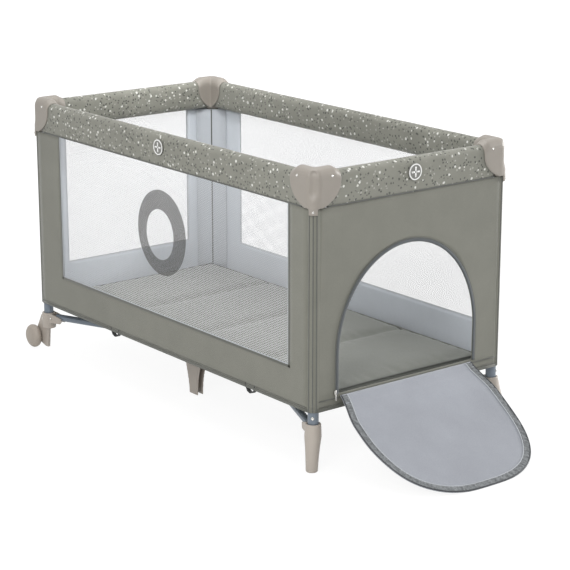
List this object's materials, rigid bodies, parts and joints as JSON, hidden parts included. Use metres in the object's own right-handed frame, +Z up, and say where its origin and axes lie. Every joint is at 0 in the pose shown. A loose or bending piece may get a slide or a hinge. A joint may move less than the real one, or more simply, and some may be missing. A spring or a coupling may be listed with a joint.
{
  "type": "travel play yard",
  "caption": "Folding travel play yard: padded rails on corner posts, mesh walls, arched zipped door flap, folding mattress, splayed feet and a pair of wheels",
  "frame": {"origin": "on the floor, under the centre of the bounding box of the open yard with its door flap down", "axes": "+Z up; +X along the yard from the wheeled end to the door end; +Y across to the back long side"},
  "size_m": [1.7136, 0.6876, 0.7704],
  "materials": {
    "grey_blue_steel": "satin grey-blue powder coat",
    "taupe_plastic": "moulded taupe plastic with a fine grain",
    "olive_grey_cloth": "plain woven olive-grey polyester",
    "speckled_padding": "olive-grey cloth printed with light and dark speckles",
    "white_net": "fine white mesh netting",
    "pale_blue_grey_lining": "pale blue-grey lining with a dark zip edge",
    "zip_metal": "bright zip metal"
  },
  "bodies": {
    "corner_wheel_front": {"post_wheel_front": "grey_blue_steel", "cap_wheel_front": "taupe_plastic", "bracket_wheel_front": "taupe_plastic", "axle_wheel_front": "grey_blue_steel", "wall_front": "olive_grey_cloth", "mesh_front": "white_net"},
    "corner_door_front": {"post_door_front": "grey_blue_steel", "cap_door_front": "taupe_plastic", "foot_door_front": "taupe_plastic", "wall_door": "olive_grey_cloth"},
    "corner_door_back": {"post_door_back": "grey_blue_steel", "cap_door_back": "taupe_plastic", "foot_door_back": "taupe_plastic", "wall_back": "olive_grey_cloth", "mesh_back": "white_net"},
    "corner_wheel_back": {"post_wheel_back": "grey_blue_steel", "cap_wheel_back": "taupe_plastic", "bracket_wheel_back": "taupe_plastic", "axle_wheel_back": "grey_blue_steel", "wall_wheel": "olive_grey_cloth", "mesh_wheel": "white_net"},
    "wheel_front": {"wheel_front": "taupe_plastic"},
    "wheel_back": {"wheel_back": "taupe_plastic"},
    "hub": {"hub": "taupe_plastic", "base_cloth": "olive_grey_cloth"},
    "base_tube_wheel_front": {"base_tube_wheel_front": "grey_blue_steel"},
    "base_tube_door_front": {"base_tube_door_front": "grey_blue_steel"},
    "base_tube_door_back": {"base_tube_door_back": "grey_blue_steel"},
    "base_tube_wheel_back": {"base_tube_wheel_back": "grey_blue_steel"},
    "middle_arm_front": {"middle_arm_front": "grey_blue_steel"},
    "middle_leg_front": {"middle_leg_front": "taupe_plastic"},
    "middle_arm_back": {"middle_arm_back": "grey_blue_steel"},
    "middle_leg_back": {"middle_leg_back": "taupe_plastic"},
    "rail_front_wheel": {"rail_front_wheel": "grey_blue_steel", "cover_front_wheel": "speckled_padding"},
    "rail_front_door": {"rail_front_door": "grey_blue_steel", "cover_front_door": "speckled_padding"},
    "rail_back_wheel": {"rail_back_wheel": "grey_blue_steel", "cover_back_wheel": "speckled_padding"},
    "rail_back_door": {"rail_back_door": "grey_blue_steel", "cover_back_door": "speckled_padding"},
    "rail_wheel_front": {"rail_wheel_front": "grey_blue_steel", "cover_wheel_front": "speckled_padding"},
    "rail_wheel_back": {"rail_wheel_back": "grey_blue_steel", "cover_wheel_back": "speckled_padding"},
    "rail_door_front": {"rail_door_front": "grey_blue_steel", "cover_door_front": "speckled_padding"},
    "rail_door_back": {"rail_door_back": "grey_blue_steel", "cover_door_back": "speckled_padding"},
    "lock_front": {"lock_front": "taupe_plastic"},
    "lock_back": {"lock_back": "taupe_plastic"},
    "lock_wheel": {"lock_wheel": "taupe_plastic"},
    "lock_door": {"lock_door": "taupe_plastic"},
    "button_front": {"button_front": "taupe_plastic"},
    "button_back": {"button_back": "taupe_plastic"},
    "button_wheel": {"button_wheel": "taupe_plastic"},
    "button_door": {"button_door": "taupe_plastic"},
    "door_flap": {"door_flap": "pale_blue_grey_lining"},
    "zip_slider": {"zip_slider": "zip_metal"},
    "mattress": {"mattress": "olive_grey_cloth"}
  },
  "joints": [
    {"name": "fold", "type": "hinge", "parent": "corner_wheel_front", "child": "base_tube_wheel_front", "pos_m": [-0.7312, -0.29051, 0.105], "axis": [0.3925, -0.9197, 0], "range_deg": [0, 83], "deforming": ["cover_front_wheel", "cover_front_door", "cover_back_wheel", "cover_back_door", "cover_wheel_front", "cover_wheel_back", "cover_door_front", "cover_door_back", "wall_front", "wall_door", "wall_back", "wall_wheel", "mesh_front", "mesh_back", "mesh_wheel", "base_cloth", "mattress", "door_flap"]},
    {"name": "hub_level", "type": "hinge", "parent": "base_tube_wheel_front", "child": "hub", "pos_m": [-0.1642, -0.04851, 0.105], "axis": [0.3925, -0.9197, 0], "range_deg": [-83, 0]},
    {"name": "tube_swing_door_front", "type": "hinge", "parent": "hub", "child": "base_tube_door_front", "pos_m": [-0.11146, -0.04851, 0.105], "axis": [0.3925, 0.9197, 0], "range_deg": [0, 83]},
    {"name": "post_level_door_front", "type": "hinge", "parent": "base_tube_door_front", "child": "corner_door_front", "pos_m": [0.45554, -0.29051, 0.105], "axis": [0.3925, 0.9197, 0], "range_deg": [-83, 0]},
    {"name": "tube_swing_door_back", "type": "hinge", "parent": "hub", "child": "base_tube_door_back", "pos_m": [-0.11146, 0.04851, 0.105], "axis": [-0.3925, 0.9197, 0], "range_deg": [0, 83]},
    {"name": "post_level_door_back", "type": "hinge", "parent": "base_tube_door_back", "child": "corner_door_back", "pos_m": [0.45554, 0.29051, 0.105], "axis": [-0.3925, 0.9197, 0], "range_deg": [-83, 0]},
    {"name": "tube_swing_wheel_back", "type": "hinge", "parent": "hub", "child": "base_tube_wheel_back", "pos_m": [-0.1642, 0.04851, 0.105], "axis": [-0.3925, -0.9197, 0], "range_deg": [0, 83]},
    {"name": "post_level_wheel_back", "type": "hinge", "parent": "base_tube_wheel_back", "child": "corner_wheel_back", "pos_m": [-0.7312, 0.29051, 0.105], "axis": [-0.3925, -0.9197, 0], "range_deg": [-83, 0]},
    {"name": "rail_drop_front_wheel", "type": "hinge", "parent": "corner_wheel_front", "child": "rail_front_wheel", "pos_m": [-0.72483, -0.307, 0.74], "axis": [0, 1, 0], "range_deg": [0, 83]},
    {"name": "rail_drop_front_door", "type": "hinge", "parent": "corner_door_front", "child": "rail_front_door", "pos_m": [0.44917, -0.307, 0.74], "axis": [0, -1, 0], "range_deg": [0, 83]},
    {"name": "rail_drop_back_wheel", "type": "hinge", "parent": "corner_wheel_back", "child": "rail_back_wheel", "pos_m": [-0.72483, 0.307, 0.74], "axis": [0, 1, 0], "range_deg": [0, 83]},
    {"name": "rail_drop_back_door", "type": "hinge", "parent": "corner_door_back", "child": "rail_back_door", "pos_m": [0.44917, 0.307, 0.74], "axis": [0, -1, 0], "range_deg": [0, 83]},
    {"name": "rail_drop_wheel_front", "type": "hinge", "parent": "corner_wheel_front", "child": "rail_wheel_front", "pos_m": [-0.76983, -0.262, 0.74], "axis": [-1, 0, 0], "range_deg": [0, 83]},
    {"name": "rail_drop_wheel_back", "type": "hinge", "parent": "corner_wheel_back", "child": "rail_wheel_back", "pos_m": [-0.76983, 0.262, 0.74], "axis": [1, 0, 0], "range_deg": [0, 83]},
    {"name": "rail_drop_door_front", "type": "hinge", "parent": "corner_door_front", "child": "rail_door_front", "pos_m": [0.49417, -0.262, 0.74], "axis": [-1, 0, 0], "range_deg": [0, 83]},
    {"name": "rail_drop_door_back", "type": "hinge", "parent": "corner_door_back", "child": "rail_door_back", "pos_m": [0.49417, 0.262, 0.74], "axis": [1, 0, 0], "range_deg": [0, 83]},
    {"name": "lock_level_front", "type": "hinge", "parent": "rail_front_wheel", "child": "lock_front", "pos_m": [-0.15783, -0.307, 0.74], "axis": [0, 1, 0], "range_deg": [-83, 0]},
    {"name": "press_front", "type": "slide", "parent": "lock_front", "child": "button_front", "axis": [0, 1, 0], "range_m": [0, 0.003], "stiffness_N_per_m": 300},
    {"name": "lock_level_back", "type": "hinge", "parent": "rail_back_wheel", "child": "lock_back", "pos_m": [-0.15783, 0.307, 0.74], "axis": [0, 1, 0], "range_deg": [-83, 0]},
    {"name": "press_back", "type": "slide", "parent": "lock_back", "child": "button_back", "axis": [0, -1, 0], "range_m": [0, 0.003], "stiffness_N_per_m": 300},
    {"name": "lock_level_wheel", "type": "hinge", "parent": "rail_wheel_front", "child": "lock_wheel", "pos_m": [-0.76983, -0.02, 0.74], "axis": [-1, 0, 0], "range_deg": [-83, 0]},
    {"name": "press_wheel", "type": "slide", "parent": "lock_wheel", "child": "button_wheel", "axis": [1, 0, 0], "range_m": [0, 0.003], "stiffness_N_per_m": 300},
    {"name": "lock_level_door", "type": "hinge", "parent": "rail_door_front", "child": "lock_door", "pos_m": [0.49417, -0.02, 0.74], "axis": [-1, 0, 0], "range_deg": [-83, 0]},
    {"name": "press_door", "type": "slide", "parent": "lock_door", "child": "button_door", "axis": [-1, 0, 0], "range_m": [0, 0.003], "stiffness_N_per_m": 300},
    {"name": "arm_swing_front", "type": "hinge", "parent": "hub", "child": "middle_arm_front", "pos_m": [-0.15983, -0.074, 0.105], "axis": [1, 0, 0], "range_deg": [0, 87.03]},
    {"name": "leg_level_front", "type": "hinge", "parent": "middle_arm_front", "child": "middle_leg_front", "pos_m": [-0.15983, -0.2, 0.105], "axis": [1, 0, 0], "range_deg": [-87.03, 0]},
    {"name": "arm_swing_back", "type": "hinge", "parent": "hub", "child": "middle_arm_back", "pos_m": [-0.11583, 0.074, 0.105], "axis": [-1, 0, 0], "range_deg": [0, 87.03]},
    {"name": "leg_level_back", "type": "hinge", "parent": "middle_arm_back", "child": "middle_leg_back", "pos_m": [-0.11583, 0.2, 0.105], "axis": [-1, 0, 0], "range_deg": [-87.03, 0]},
    {"name": "roll_front", "type": "hinge", "parent": "corner_wheel_front", "child": "wheel_front", "pos_m": [-0.82183, -0.319, 0.035], "axis": [0, 1, 0], "continuous": true},
    {"name": "roll_back", "type": "hinge", "parent": "corner_wheel_back", "child": "wheel_back", "pos_m": [-0.82183, 0.319, 0.035], "axis": [0, 1, 0], "continuous": true},
    {"name": "flap_open", "type": "hinge", "parent": "corner_door_front", "child": "door_flap", "pos_m": [0.51377, -0.012, 0.181], "axis": [0, -1, 0], "range_deg": [0, 117.06]},
    {"name": "zip_run", "type": "slide", "parent": "corner_door_front", "child": "zip_slider", "axis": [0, 0, 1], "range_m": [0, 0.125]},
    {"name": "mattress_lift", "type": "slide", "parent": "hub", "child": "mattress", "axis": [0, 0, 1], "range_m": [0, 0.65]}
  ],
  "couplings": [
    {"joint": "hub_level", "follows": "fold", "ratio": -1},
    {"joint": "tube_swing_door_front", "follows": "fold", "ratio": 1},
    {"joint": "post_level_door_front", "follows": "fold", "ratio": -1},
    {"joint": "tube_swing_door_back", "follows": "fold", "ratio": 1},
    {"joint": "post_level_door_back", "follows": "fold", "ratio": -1},
    {"joint": "tube_swing_wheel_back", "follows": "fold", "ratio": 1},
    {"joint": "post_level_wheel_back", "follows": "fold", "ratio": -1},
    {"joint": "rail_drop_front_wheel", "follows": "fold", "ratio": 1},
    {"joint": "rail_drop_front_door", "follows": "fold", "ratio": 1},
    {"joint": "rail_drop_back_wheel", "follows": "fold", "ratio": 1},
    {"joint": "rail_drop_back_door", "follows": "fold", "ratio": 1},
    {"joint": "rail_drop_wheel_front", "follows": "fold", "ratio": 1},
    {"joint": "rail_drop_wheel_back", "follows": "fold", "ratio": 1},
    {"joint": "rail_drop_door_front", "follows": "fold", "ratio": 1},
    {"joint": "rail_drop_door_back", "follows": "fold", "ratio": 1},
    {"joint": "lock_level_front", "follows": "fold", "ratio": -1},
    {"joint": "lock_level_back", "follows": "fold", "ratio": -1},
    {"joint": "lock_level_wheel", "follows": "fold", "ratio": -1},
    {"joint": "lock_level_door", "follows": "fold", "ratio": -1},
    {"joint": "arm_swing_front", "follows": "fold", "ratio": 1.048},
    {"joint": "leg_level_front", "follows": "fold", "ratio": -1.048},
    {"joint": "arm_swing_back", "follows": "fold", "ratio": 1.048},
    {"joint": "leg_level_back", "follows": "fold", "ratio": -1.048}
  ]
}
